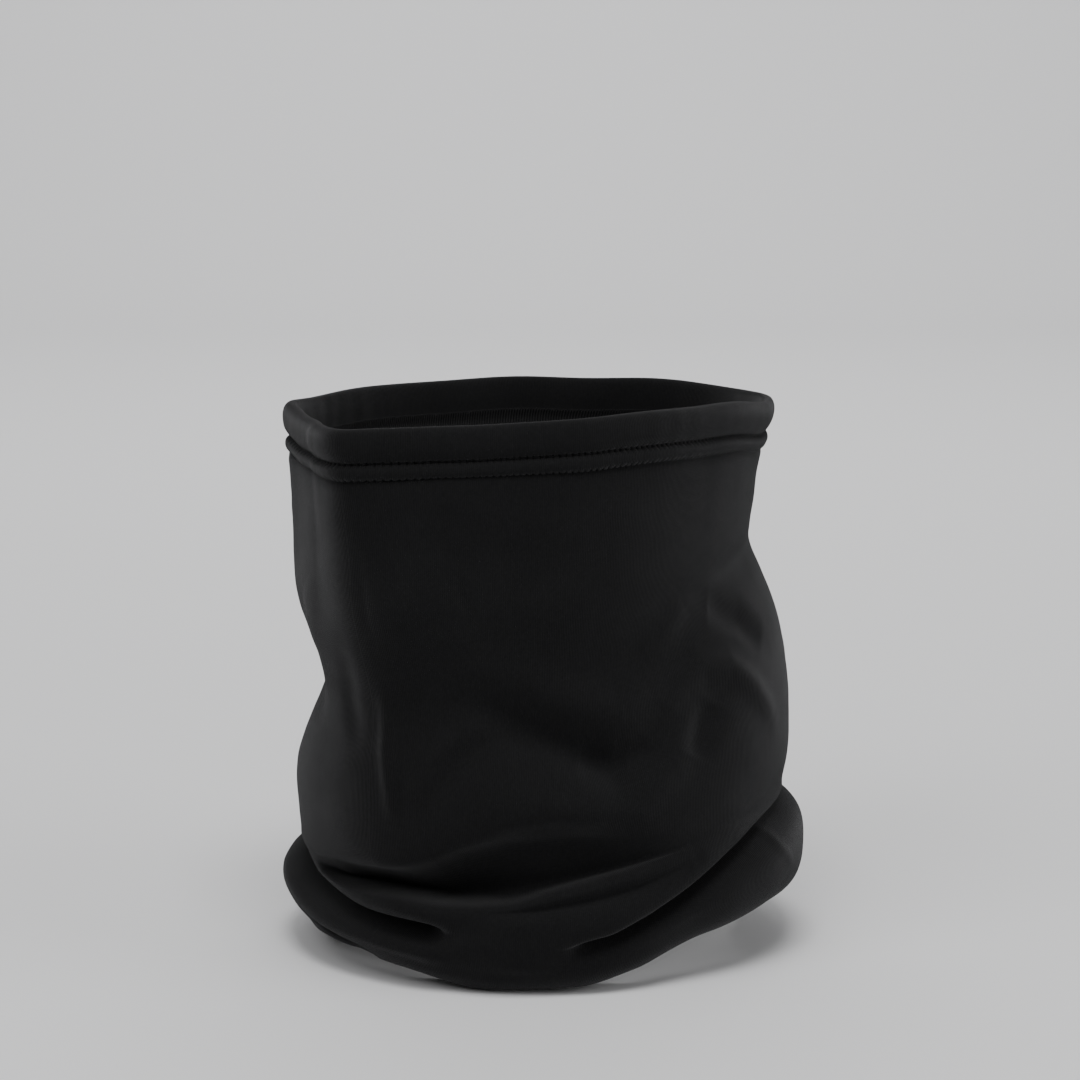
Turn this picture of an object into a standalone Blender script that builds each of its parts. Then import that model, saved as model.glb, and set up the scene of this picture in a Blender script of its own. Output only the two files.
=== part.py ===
"""Neck gaiter: a short tube of fleece-backed stretch knit, worn from the nose down to the neck.

Metres, +Z up, the wearer faces -Y and their left is +X. The origin is in the middle of the passage for
the head, about level with the top edge. Directions round the tube are degrees from the front (0) through the
wearer's left (90) and back (180). Every level is a closed curve of height and reach round that axis.
"""
import math

import bmesh
import bpy
import numpy as np
from mathutils import Vector
from mathutils.bvhtree import BVHTree

MM = 0.001

# cloth and sewing
CLOTH_THICK = 2.2 * MM
HEM_DEPTH = 18.2 * MM              # turned edge, top fold to lower needle row
UPPER_ROW_DROP = 12.2 * MM         # top fold to upper needle row
ROW_GAUGE = 5.8 * MM               # between the two needle rows
UNDER_HEM = 18.8                   # millimetres, top fold to where the plain panel begins
HEM_THICK = 5.4 * MM               # reach of the edge to its back
UPPER_STITCH_BED = 0.35 * MM       # how deep each needle row lies in the face
LOWER_STITCH_BED = 0.30 * MM
LOWER_ROW_LIFT = 0.2 * MM          # the lower row runs just above the edge's foot
BOTTOM_HEM_INSET = 4.4             # millimetres, lower turned edge in from the tucked end
THREAD_RADIUS = 0.22 * MM
FIT_GAP = 0.35 * MM                # left between pieces that touch
STAND_OFF = 3 * FIT_GAP            # left between neighbours that do not touch
LAY_GAP = 0.80 * MM                # left where a flat piece follows the curved inside
SEAM_WIDTH = 7.0 * MM
SEAM_THICK = 1.6 * MM
SEAM_TOP = -24.0 * MM
SEAM_FOOT = -122.0 * MM
LABEL_WIDTH = 22.0 * MM
LABEL_HEIGHT = 34.0 * MM
LABEL_THICK = 0.5 * MM
LABEL_TOP = -34.0 * MM
LABEL_STITCH_INSET = 2.5 * MM
BACK_RADIUS = 90.0 * MM            # of the cloth at the centre back

# mesh
CAGE_COLUMNS = 28
RING_COLUMNS = 52
FRONT_CROWDING = 22.0              # degrees, closer columns round the nose
NORMAL_STEP = 0.5                  # degrees either side when reading which way an edge faces
SEAM_ROWS, SEAM_COLUMNS = 13, 3
LABEL_ROWS, LABEL_COLUMNS = 5, 5

# The top edge: a nose tip in front, flat cheeks, a round back of the head.
RIM_REACH = {0: 107, 10: 100.5, 20: 92.6, 38: 88.2, 52: 89.5, 68: 87.5, 90: 85, 110: 86.5, 128: 90,
             150: 96, 180: 99, 210: 96, 232: 90, 250: 86.5, 270: 85, 292: 88, 308: 90, 322: 88.2,
             340: 92.6, 350: 100.5}

# Height of the top edge: lowest at the nose, riding up over the wearer's left cheek.
RIM_HEIGHT = {0: 2.3, 10: 3.1, 22: 4.3, 38: 5.5, 52: 6.7, 64: 7.6, 76: 8.0, 88: 7.7, 104: 6.8, 118: 4.8,
              130: 3.2, 150: 2.5, 180: 2.3, 232: 2.3, 308: 2.4, 340: 2.5}

# How far the turned top edge leans in from its fold to its foot.
HEM_LEAN = {0: 0.4, 20: 0, 38: 0, 90: 0.9, 110: 1.9, 128: 2.6, 150: 2.4, 210: 2.4, 232: 2.4, 270: 0.9,
            292: 0.4, 308: 0, 340: 0}

# Levels down the outside of the panel: (height, reach), each {direction: millimetres}.
PANEL_LEVELS = {
    "under hem": (
        {a: h - UNDER_HEM for a, h in RIM_HEIGHT.items()},
        {0: 105, 10: 98.5, 20: 91, 38: 86.6, 52: 87.5, 68: 85.5, 90: 82.5, 110: 83, 128: 85.8, 150: 92,
         180: 95, 210: 92, 232: 86, 250: 83.5, 270: 82.5, 292: 86, 308: 88.6, 322: 86.6, 340: 91,
         350: 98.5}),
    "cheek": (
        {0: -45, 128: -36, 180: -36, 232: -40, 308: -45},
        {0: 100, 20: 89.5, 38: 85, 52: 85.5, 90: 80, 128: 82.4, 180: 91, 232: 82, 270: 81, 308: 87.3,
         322: 85.6, 340: 89.5}),
    "jaw": (
        {0: -72, 38: -68, 90: -50, 128: -44, 180: -43, 232: -52, 270: -64, 308: -72},
        {0: 96, 20: 88, 38: 83.6, 52: 83, 90: 79.5, 128: 81.4, 180: 88, 232: 80, 270: 79.5, 308: 84.5,
         322: 84.4, 340: 88}),
    "waist": (
        {0: -93, 38: -86, 75: -68, 100: -57, 128: -52, 180: -50, 232: -64, 270: -84, 308: -92.5},
        {0: 89, 20: 83.5, 38: 80.5, 60: 79, 90: 79.6, 128: 82, 180: 86, 232: 79, 270: 76.5, 308: 75.6,
         325: 78, 340: 83.5}),
    "bulge top": (
        {0: -113, 38: -106, 75: -92, 128: -74, 180: -74, 232: -88, 270: -106, 308: -114},
        {0: 89.5, 20: 85, 38: 80.8, 56: 81.5, 75: 84.8, 100: 90, 128: 91.8, 180: 91, 232: 84, 270: 81,
         308: 81, 340: 86}),
    "bulge": (
        {0: -134, 38: -128, 75: -118, 128: -112, 180: -112, 232: -122, 270: -130, 308: -136},
        {0: 91, 38: 87.5, 60: 87.8, 75: 90.5, 98: 95, 128: 96.9, 180: 96, 232: 89, 270: 86, 308: 86.6,
         340: 88.5}),
    "brow": (
        {0: -153.5, 12: -150.5, 24: -145, 38: -138.5, 60: -136.5, 75: -136, 90: -131, 128: -126, 180:
         -126, 232: -136, 270: -144, 308: -150, 336: -155},
        {0: 88.6, 12: 87.2, 24: 86.2, 38: 85.9, 60: 88.3, 75: 91.6, 90: 94, 128: 96.3, 180: 96, 232: 89,
         270: 86, 308: 85.6, 336: 87.3}),
    "under brow": (
        {0: -157.5, 12: -155.5, 24: -151, 38: -146.5, 60: -144, 75: -141.5, 90: -134.5, 128: -129.5,
         180: -129.5, 232: -139.5, 270: -148, 308: -153, 336: -159},
        {0: 80, 15: 79.5, 30: 80.5, 48: 82.8, 62: 87, 75: 91.6, 90: 94, 128: 95.9, 180: 95.6, 232: 88.8,
         270: 85.8, 308: 85.3, 330: 86.2, 340: 84.5, 350: 81.5}),
    "front fold": (
        {0: -165, 15: -165, 24: -163, 33: -161, 42: -158.8, 51: -156, 62: -152, 75: -146.5, 90: -138.5,
         128: -133, 180: -133, 232: -143, 270: -152, 308: -156, 322: -158.5, 334: -162, 345: -165},
        {0: 70.5, 15: 70, 25: 71.5, 33: 73.5, 48: 77, 62: 83, 75: 91, 90: 94, 128: 95.2, 180: 95, 232:
         88.5, 270: 85.5, 308: 85, 322: 85.6, 332: 84.8, 340: 79, 350: 72.5}),
    "tongue": (
        {0: -165, 16: -165.8, 33: -163.5, 42: -161, 51: -158.2, 64: -154, 75: -150, 90: -143.5, 128:
         -138.5, 180: -138, 232: -148, 270: -157, 308: -160, 336: -165},
        {0: 88.2, 16: 88, 33: 88, 51: 89.6, 64: 91.8, 75: 93.3, 90: 94, 128: 94.5, 180: 93.5, 232: 87.5,
         270: 84.5, 308: 83.8, 325: 83.5, 336: 85}),
    "lip": (
        {0: -171.5, 16: -171.5, 30: -170.5, 45: -172.5, 55: -172, 64: -168, 75: -160.5, 91: -149.5, 104:
         -143, 128: -140.5, 180: -139.5, 232: -150, 270: -158.5, 308: -162, 336: -167.5},
        {0: 87, 16: 89.5, 30: 90.5, 45: 92, 64: 93.5, 75: 93.5, 90: 93, 128: 92.5, 180: 91.5, 232: 85,
         270: 82.5, 308: 82, 336: 82.5}),
    "fold": (
        {0: -173, 16: -175.5, 30: -177.5, 45: -179.5, 55: -175, 64: -168.5, 75: -160.5, 91: -149.5, 104:
         -143, 128: -140.5, 180: -140, 232: -151, 270: -159.5, 308: -163, 336: -169},
        {0: 76, 12: 78, 20: 88, 30: 91.5, 45: 91, 52: 86, 64: 80, 75: 79, 90: 79, 128: 80, 180: 81, 232:
         75, 270: 73.5, 308: 73.5, 336: 74.5}),
    "shoulder": (
        {0: -179, 16: -181.5, 30: -184.5, 45: -185.5, 55: -181, 64: -174.5, 75: -167, 91: -156, 104:
         -149, 128: -146, 180: -145.5, 232: -155, 270: -163, 308: -166.5, 336: -174.5},
        {0: 89, 16: 90, 30: 90.5, 45: 89.5, 55: 88.5, 64: 89, 75: 90.5, 90: 93.5, 104: 96, 128: 98, 180:
         98, 232: 91, 270: 88, 308: 88, 336: 88.5}),
    "lobe": (
        {0: -184, 30: -189, 50: -188.5, 64: -181, 75: -174, 91: -167, 104: -164, 128: -164, 180: -165,
         232: -171, 270: -175, 308: -175, 336: -180},
        {0: 89.5, 30: 88, 50: 89.5, 64: 91.5, 75: 93, 90: 98, 104: 101.5, 128: 102.8, 180: 102, 232:
         95.5, 270: 92.5, 308: 91.6, 336: 91}),
    "lower lobe": (
        {0: -188.5, 30: -193.5, 50: -193, 64: -187.5, 75: -181.5, 91: -176, 104: -174, 128: -176.5, 180:
         -178, 232: -182, 270: -185, 308: -185, 336: -185},
        {0: 86, 30: 85, 50: 86.5, 64: 88.5, 75: 89.5, 90: 94, 104: 97, 128: 98.5, 180: 98, 232: 92, 270:
         88, 308: 84.3, 336: 86}),
    "bottom": (
        {0: -192, 28: -197, 50: -196.5, 64: -191.5, 74: -187, 86: -182.5, 105: -180, 128: -184, 180:
         -186, 232: -190, 270: -193, 308: -194, 336: -190},
        {0: 78, 30: 77, 50: 78.5, 74: 81, 90: 84.5, 128: 88.5, 180: 88, 232: 83, 270: 80, 308: 78.5,
         336: 79}),
    "turn": (
        {0: -188.5, 28: -193.5, 50: -193.5, 74: -185, 105: -178.5, 128: -182.5, 180: -182.5,
         232: -186.5, 270: -189.5, 308: -190.5, 336: -187},
        {0: 70.5, 38: 70, 90: 75, 128: 78.5, 180: 77.5, 232: 74, 270: 71.5, 308: 70, 336: 70.5}),
    "tuck": (
        {0: -184.5, 28: -189.5, 50: -189.5, 74: -181, 105: -174.5, 128: -178.5, 180: -178.5,
         232: -182.5, 270: -185.5, 308: -186.5, 336: -183},
        {0: 70.5, 38: 70, 90: 75, 128: 78.5, 180: 77.5, 232: 74, 270: 71.5, 308: 70, 336: 70.5}),
}

# A turned edge seen in section: (out from the reach, down from the fold), outside then inside.
HEM_SECTION = ((-2.6, 0.0), (-0.9, 0.7), (0.2, 2.5), (0.6, 6.0), (0.2, 10.0), (-1.1, 12.2), (-0.4, 13.6),
               (-0.1, 15.2), (-0.5, 16.9), (-1.3, 18.2), (-5.4, 18.2), (-5.0, 12.5), (-5.4, 6.0),
               (-4.6, 1.0))

SHELL_BLACK = (0.014, 0.014, 0.015, 1.0)
THREAD_BLACK = (0.020, 0.020, 0.021, 1.0)
LABEL_GREY = (0.10, 0.10, 0.11, 1.0)


def clear_scene():
    for thing in list(bpy.data.objects):
        bpy.data.objects.remove(thing, do_unlink=True)


def around(keys, direction):
    """Smooth closed curve through {direction: millimetres}, without overshoot, in metres."""
    at = sorted(keys)
    if len(at) == 1:
        return keys[at[0]] * MM
    x = [at[-1] - 360] + at + [at[0] + 360, at[1] + 360]
    y = [keys[at[-1]]] + [keys[a] for a in at] + [keys[at[0]], keys[at[1]]]
    turn = (direction - at[0]) % 360 + at[0]
    i = max(k for k in range(1, len(at) + 1) if x[k] <= turn)

    def slope(k):
        before = (y[k] - y[k - 1]) / (x[k] - x[k - 1])
        after = (y[k + 1] - y[k]) / (x[k + 1] - x[k])
        return 2 * before * after / (before + after) if before * after > 0 else 0.0

    width = x[i + 1] - x[i]
    t = (turn - x[i]) / width
    value = (y[i] * (2 * t**3 - 3 * t**2 + 1) + y[i + 1] * (3 * t**2 - 2 * t**3)
             + slope(i) * width * (t**3 - 2 * t**2 + t) + slope(i + 1) * width * (t**3 - t**2))
    return value * MM


def directions(count):
    """Directions round the tube, closer together at the nose."""
    return [360 * i / count - FRONT_CROWDING * math.sin(2 * math.pi * i / count) for i in range(count)]


def at_direction(direction, reach, height):
    a = math.radians(direction)
    return np.array((reach * math.sin(a), -reach * math.cos(a), height))


def outward(reach_keys, direction):
    """Level normal of the closed curve given by its reach."""
    after, before = direction + NORMAL_STEP, direction - NORMAL_STEP
    ahead = at_direction(after, around(reach_keys, after), 0)
    behind = at_direction(before, around(reach_keys, before), 0)
    along = (ahead - behind) / np.linalg.norm(ahead - behind)
    return np.array((along[1], -along[0], 0.0))


def material(name, colour, roughness):
    made = bpy.data.materials.new(name)
    made.use_nodes = True
    shader = made.node_tree.nodes["Principled BSDF"]
    shader.inputs["Base Color"].default_value = colour
    shader.inputs["Roughness"].default_value = roughness
    return made


def add_object(name, mesh, skin, collection):
    made = bpy.data.objects.new(name, mesh)
    made.data.materials.append(skin)
    collection.objects.link(made)
    return made


def grid_mesh(name, rows, close_rows=False, close_columns=False):
    """Quads over a list of rows of points, optionally closed either way."""
    grid = bmesh.new()
    corners = [[grid.verts.new(point) for point in row] for row in rows]
    down = len(rows) if close_rows else len(rows) - 1
    across = len(rows[0]) if close_columns else len(rows[0]) - 1
    for r in range(down):
        low, high = corners[r], corners[(r + 1) % len(rows)]
        for c in range(across):
            n = (c + 1) % len(rows[0])
            grid.faces.new((low[c], low[n], high[n], high[c]))
    bmesh.ops.recalc_face_normals(grid, faces=grid.faces)
    mesh = bpy.data.meshes.new(name)
    grid.to_mesh(mesh)
    grid.free()
    return mesh


def add_subdivision(thing, levels):
    smooth = thing.modifiers.new("soft", "SUBSURF")
    smooth.levels = levels
    smooth.render_levels = levels


def add_thickness(thing, thickness, offset):
    wall = thing.modifiers.new("thickness", "SOLIDIFY")
    wall.thickness = thickness
    wall.offset = offset
    wall.use_even_offset = True


def add_thread(name, points, closed, skin, collection):
    """One sewn strand as a round cord through the points."""
    curve = bpy.data.curves.new(name, "CURVE")
    curve.dimensions = "3D"
    curve.bevel_depth = THREAD_RADIUS
    curve.bevel_resolution = 0
    curve.use_fill_caps = not closed
    strand = curve.splines.new("POLY")
    strand.points.add(len(points) - 1)
    for slot, point in zip(strand.points, points):
        slot.co = (*point, 1.0)
    strand.use_cyclic_u = closed
    return add_object(name, curve, skin, collection)


def build_body_panel(skin, collection):
    """The outside of the cloth as a coarse cage, made smooth and given its thickness inward."""
    columns = directions(CAGE_COLUMNS)
    rows = [[at_direction(d, around(reach, d), around(height, d)) for d in columns]
            for height, reach in PANEL_LEVELS.values()]
    panel = add_object("body_panel", grid_mesh("body_panel", rows, close_columns=True), skin, collection)
    add_subdivision(panel, 1)
    add_thickness(panel, CLOTH_THICK, -1.0)
    return panel


def lean(side, direction, drop):
    """Millimetres a point `drop` millimetres down a turned edge leans in. Only the top edge leans."""
    if side > 0:
        return 0.0
    return around(HEM_LEAN, direction) * drop / HEM_DEPTH


def hem_base(keys_height, keys_reach, direction):
    return at_direction(direction, around(keys_reach, direction), around(keys_height, direction))


def build_hem(name, height_keys, reach_keys, side, skin, collection):
    """A turned edge: one closed section carried round the tube. side is -1 where the fold is on top and
    the right side of the cloth faces out, +1 where it faces in."""
    sections = []
    for d in directions(RING_COLUMNS):
        base = hem_base(height_keys, reach_keys, d)
        out = outward(reach_keys, d) * (-side)
        sections.append([base + out * (o - lean(side, d, drop)) * MM + np.array((0, 0, -drop * MM))
                         for o, drop in HEM_SECTION])
    return add_object(name, grid_mesh(name, sections, close_rows=True, close_columns=True), skin, collection)


def thread_ring(height_keys, reach_keys, side, out, drop):
    """Points of a strand lying along a hem, `out` from its reach and `drop` below its fold."""
    points = []
    for d in directions(RING_COLUMNS):
        base = hem_base(height_keys, reach_keys, d)
        lean_in = lean(side, d, drop / MM) * MM
        points.append(base + outward(reach_keys, d) * (-side) * (out - lean_in) + np.array((0, 0, -drop)))
    return points


def build_hem_with_threads(prefix, height_keys, reach_keys, side, cloth, thread, collection):
    build_hem(prefix, height_keys, reach_keys, side, cloth, collection)
    rows = {"needle_thread_upper": (-UPPER_STITCH_BED, UPPER_ROW_DROP),
            "needle_thread_lower": (-LOWER_STITCH_BED, UPPER_ROW_DROP + ROW_GAUGE - LOWER_ROW_LIFT),
            "looper_thread": (-HEM_THICK - FIT_GAP - THREAD_RADIUS, UPPER_ROW_DROP + ROW_GAUGE / 2)}
    for row, (out, drop) in rows.items():
        points = thread_ring(height_keys, reach_keys, side, out, drop)
        add_thread(f"{prefix}_{row}", points, True, thread, collection)


def bottom_hem_keys():
    """The lower turned edge stands on the tucked end of the panel, wrong side out."""
    height, reach = PANEL_LEVELS["tuck"]
    lift = (HEM_DEPTH + STAND_OFF) / MM
    return ({a: h + lift for a, h in height.items()}, {a: r - BOTTOM_HEM_INSET for a, r in reach.items()})


def inside_of(panel):
    """Search tree of the finished panel, for laying things against its inside."""
    bpy.context.view_layer.update()
    return BVHTree.FromObject(panel, bpy.context.evaluated_depsgraph_get())


def against_inside(tree, direction, height, away):
    """Point standing `away` in from the inside of the cloth."""
    ray = at_direction(direction, 1.0, 0.0)
    hit = tree.ray_cast(Vector((0, 0, height)), Vector(ray))
    return at_direction(direction, hit[3] - away, height)


def arc(across):
    """Direction of a point `across` metres to the wearer's left of the centre back."""
    return 180 - math.degrees(across / BACK_RADIUS)


def build_back_seam(tree, cloth, thread, collection):
    """Allowance of the closing seam down the inside of the centre back, with its two threads."""
    heights = np.linspace(SEAM_TOP, SEAM_FOOT, SEAM_ROWS)
    middle = LAY_GAP + SEAM_THICK / 2
    columns = np.linspace(-SEAM_WIDTH / 2, SEAM_WIDTH / 2, SEAM_COLUMNS)
    rows = [[against_inside(tree, arc(x), h, middle) for x in columns] for h in heights]
    seam = add_object("back_seam_allowance", grid_mesh("back_seam_allowance", rows), cloth, collection)
    add_thickness(seam, SEAM_THICK, 0.0)
    away = LAY_GAP + SEAM_THICK + FIT_GAP + THREAD_RADIUS
    lines = {"back_seam_needle_thread": -SEAM_WIDTH / 4, "back_seam_looper_thread": SEAM_WIDTH / 4}
    for name, x in lines.items():
        line = [against_inside(tree, arc(x), h, away) for h in heights[1:-1]]
        add_thread(name, line, False, thread, collection)


def build_care_label(tree, tape, thread, collection):
    """Small blank label sewn flat beside the back seam."""
    near_edge = SEAM_WIDTH / 2 + STAND_OFF
    middle = LAY_GAP + LABEL_THICK / 2
    heights = np.linspace(LABEL_TOP, LABEL_TOP - LABEL_HEIGHT, LABEL_ROWS)
    columns = near_edge + np.linspace(0, LABEL_WIDTH, LABEL_COLUMNS)
    rows = [[against_inside(tree, arc(x), h, middle) for x in columns] for h in heights]
    label = add_object("care_label", grid_mesh("care_label", rows), tape, collection)
    add_thickness(label, LABEL_THICK, 0.0)
    away = LAY_GAP + LABEL_THICK + FIT_GAP + THREAD_RADIUS
    line = [against_inside(tree, arc(columns[0] + LABEL_STITCH_INSET), h, away) for h in heights]
    add_thread("care_label_stitching", line, False, thread, collection)


def main():
    clear_scene()
    collection = bpy.data.collections.new("neck_gaiter")
    bpy.context.scene.collection.children.link(collection)
    cloth = material("black_knit", SHELL_BLACK, 0.95)
    thread = material("black_thread", THREAD_BLACK, 0.7)
    tape = material("grey_label_tape", LABEL_GREY, 0.8)

    panel = build_body_panel(cloth, collection)
    tree = inside_of(panel)
    build_hem_with_threads("top_hem", RIM_HEIGHT, RIM_REACH, -1, cloth, thread, collection)
    height_keys, reach_keys = bottom_hem_keys()
    build_hem_with_threads("bottom_hem", height_keys, reach_keys, 1, cloth, thread, collection)
    build_back_seam(tree, cloth, thread, collection)
    build_care_label(tree, tape, thread, collection)


main()
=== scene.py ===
"""Neck gaiter, visual model: the bunched knit tube, its turned hems, its stitching and seam, and a plain
studio to show it in. Metres, +Z up, the wearer faces -Y and their left is +X. Directions round the tube
are degrees from the front (0) through the wearer's left (90) and back (180)."""
import math

import bpy
import numpy as np
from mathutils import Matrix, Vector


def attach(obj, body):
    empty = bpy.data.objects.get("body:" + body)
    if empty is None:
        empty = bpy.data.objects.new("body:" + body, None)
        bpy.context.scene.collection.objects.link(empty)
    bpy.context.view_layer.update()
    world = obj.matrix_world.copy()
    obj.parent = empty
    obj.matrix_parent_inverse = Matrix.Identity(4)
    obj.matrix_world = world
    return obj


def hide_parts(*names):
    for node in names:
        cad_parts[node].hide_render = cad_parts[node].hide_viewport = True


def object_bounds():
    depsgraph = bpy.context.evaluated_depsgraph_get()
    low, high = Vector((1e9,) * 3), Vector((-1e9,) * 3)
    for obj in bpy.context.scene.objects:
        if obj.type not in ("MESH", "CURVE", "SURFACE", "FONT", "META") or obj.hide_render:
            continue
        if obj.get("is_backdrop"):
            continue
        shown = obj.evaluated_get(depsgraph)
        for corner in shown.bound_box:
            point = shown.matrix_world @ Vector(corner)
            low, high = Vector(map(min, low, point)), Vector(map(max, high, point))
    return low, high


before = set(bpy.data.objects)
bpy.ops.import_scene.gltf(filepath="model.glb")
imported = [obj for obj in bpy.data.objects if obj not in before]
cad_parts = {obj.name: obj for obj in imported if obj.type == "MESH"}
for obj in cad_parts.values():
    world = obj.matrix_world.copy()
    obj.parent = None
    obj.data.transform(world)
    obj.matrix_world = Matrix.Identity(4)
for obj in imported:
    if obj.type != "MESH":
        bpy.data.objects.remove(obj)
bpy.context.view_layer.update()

MM = 0.001
DOWN = np.array((0, 0, -1.0))

# cloth
CLOTH_THICK = 2.2 * MM
CLOTH_GIRTH = 0.566                # round the flat tube
PANEL_COLUMNS = 560
PANEL_ROWS = 320
GATHER_DEPTH = 1.2 * MM
TUCK_UNDER_HEM = 0.5 * MM          # how far the lower needle row draws the panel in
TUCK_FADE = 1.1 * MM               # and over what height
RISE_INTO_HEM = 0.9 * MM           # the panel's top edge runs up inside the hem
RISE_FADE = 0.8 * MM
MEAN_REACH = 90                    # millimetres, to turn degrees into lengths on the cloth
FOLD_END = 0.15                    # depth of a soft fold at its ends, as a share of its middle
NORMAL_STEP = 0.4                  # degrees either side for the level normal of a curve
WAVE_COUNT = 14
WAVE_GIRTH = 560                   # millimetres round, for the lengths of the waves
GATHER_WAVES = (8, 11, 13, 17)     # waves round the drawn-in lower edge

# hems and stitches; drops are millimetres down from the turned edge, depths millimetres in from its outside
STITCH_LENGTH = 2.3 * MM
STITCHES_ROUND = 248
HEM_SECTION_POINTS = 96
COLUMNS_PER_STITCH = 6
UPPER_ROW_DROP = 12.2
LOWER_ROW_DROP = 18.0
UNDER_HEM = 18.8                   # top fold to where the plain panel begins
PUFF_DROP = 6.3                    # where the turned edge is fullest
PUFF_UNEVENNESS = 0.35
PINCH_DEPTH = 0.9                  # dimple at each needle hole
BOTTOM_HEM_INSET = 4.4             # the lower hem stands this far inside the tucked end
RIGHT_SIDE_OUT, WRONG_SIDE_OUT = -1, 1
TOP_HEM_SEED, BOTTOM_HEM_SEED = 21, 31
NEEDLE_DEPTH = 2.75                # where a needle thread enters the cloth
NEEDLE_RISE = 0.72                 # how far it comes out between two holes
NEEDLE_SKEW = 0.04                 # spread of the stitches off their row
LOOPER_DEPTH = 5.87                # the looper thread lies on the inside of the hem
LOOPER_LIFT = 0.18
LOOPER_SWING = 2.2                 # how squarely it turns at each row
THREAD_RADIUS = 0.17 * MM
THREAD_ENDS = 0.75                 # a stitch thins to this share where it enters the cloth

# back seam and label, on the inside of the centre back; widths are millimetres to the wearer's left
BACK_RADIUS = 90.0
SEAM_TOP = -20.5
SEAM_FOOT = -131.0
SEAM_MARGIN = 4                    # cloth read below the seam's foot
SEAM_EDGES = (-3.5, 3.5)
SEAM_THICK = 1.7
SEAM_NEEDLE_LINE = -2.1
SEAM_ROWS, SEAM_COLUMNS = 420, 19
SEAM_DRAW_IN = 0.22                # the overlock draws the raw edge in at each stitch
SEAM_STITCH_STEPS = 16             # points of looper thread to a stitch
SEAM_STITCH_INSET = 1.0            # from the seam's ends to its first and last stitch
LABEL_EDGES = (3.9, 25.9)
LABEL_TOP = -34.0
LABEL_HEIGHT = 34.0
LABEL_STITCH_LINE = 6.6
LABEL_STITCH_INSET = 0.8
LABEL_ROWS, LABEL_COLUMNS = 60, 25
LABEL_THICK = 0.16
LABEL_STAND_OFF = 0.35             # at the seam
LABEL_LIFT = 1.5                   # more at the free end
LABEL_GAP = 0.28                   # between its two layers

# knit and label tape
WALE_PITCH = 0.65 * MM
COURSE_PITCH = 0.48 * MM
WEFT_PITCH = 0.35 * MM
WARP_PITCH = 0.30 * MM

# photograph's viewpoint
VIEW_DIRECTION = 38.0              # degrees round from the front
VIEW_PITCH = 9.0                   # degrees down
VIEW_DISTANCE = 1.150              # level distance from the axis
VIEW_SIDESTEP = 0.0041
VIEW_HEIGHT = 0.1334
LENS = 104.8
FILM_WIDTH = 36

# studio, in metres: the floor runs back to a bend and up into the wall
FLOOR_FRONT, WALL_DISTANCE, WALL_HEIGHT = -2.2, 3.2, 2.6
FLOOR_BEND = 0.7
FLOOR_HALF_WIDTH = 3.4
BEND_POINTS = 25
WORLD_STRENGTH = 0.22
LIGHT_TARGET = (0, 0, -0.1)
# name, degrees round from the camera, height, distance, size, watts
SOFTBOXES = (
    ("key_softbox", 2, 1.9, 0.85, 0.9, 27),
    ("right_softbox", 72, 0.45, 1.9, 1.2, 14),
    ("left_softbox", -40, 1.4, 1.6, 1.2, 13),
)
BACKDROP_WASH = ("backdrop_wash", 180, 2.1, 1.3, 1.6, 45)
BACKDROP_TARGET_HEIGHT = 0.3

# The top edge: a nose tip in front, flat cheeks, a round back of the head.
RIM_REACH = {0: 107, 10: 100.5, 20: 92.6, 38: 88.2, 52: 89.5, 68: 87.5, 90: 85, 110: 86.5, 128: 90,
             150: 96, 180: 99, 210: 96, 232: 90, 250: 86.5, 270: 85, 292: 88, 308: 90, 322: 88.2,
             340: 92.6, 350: 100.5}

# Height of the top edge: lowest at the nose, riding up over the wearer's left cheek.
RIM_HEIGHT = {0: 2.3, 10: 3.1, 22: 4.3, 38: 5.5, 52: 6.7, 64: 7.6, 76: 8.0, 88: 7.7, 104: 6.8, 118: 4.8,
              130: 3.2, 150: 2.5, 180: 2.3, 232: 2.3, 308: 2.4, 340: 2.5}

# How far the turned top edge leans in from its fold to its foot.
HEM_LEAN = {0: 0.4, 20: 0, 38: 0, 90: 0.9, 110: 1.9, 128: 2.6, 150: 2.4, 210: 2.4, 232: 2.4, 270: 0.9,
            292: 0.4, 308: 0, 340: 0}

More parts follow.
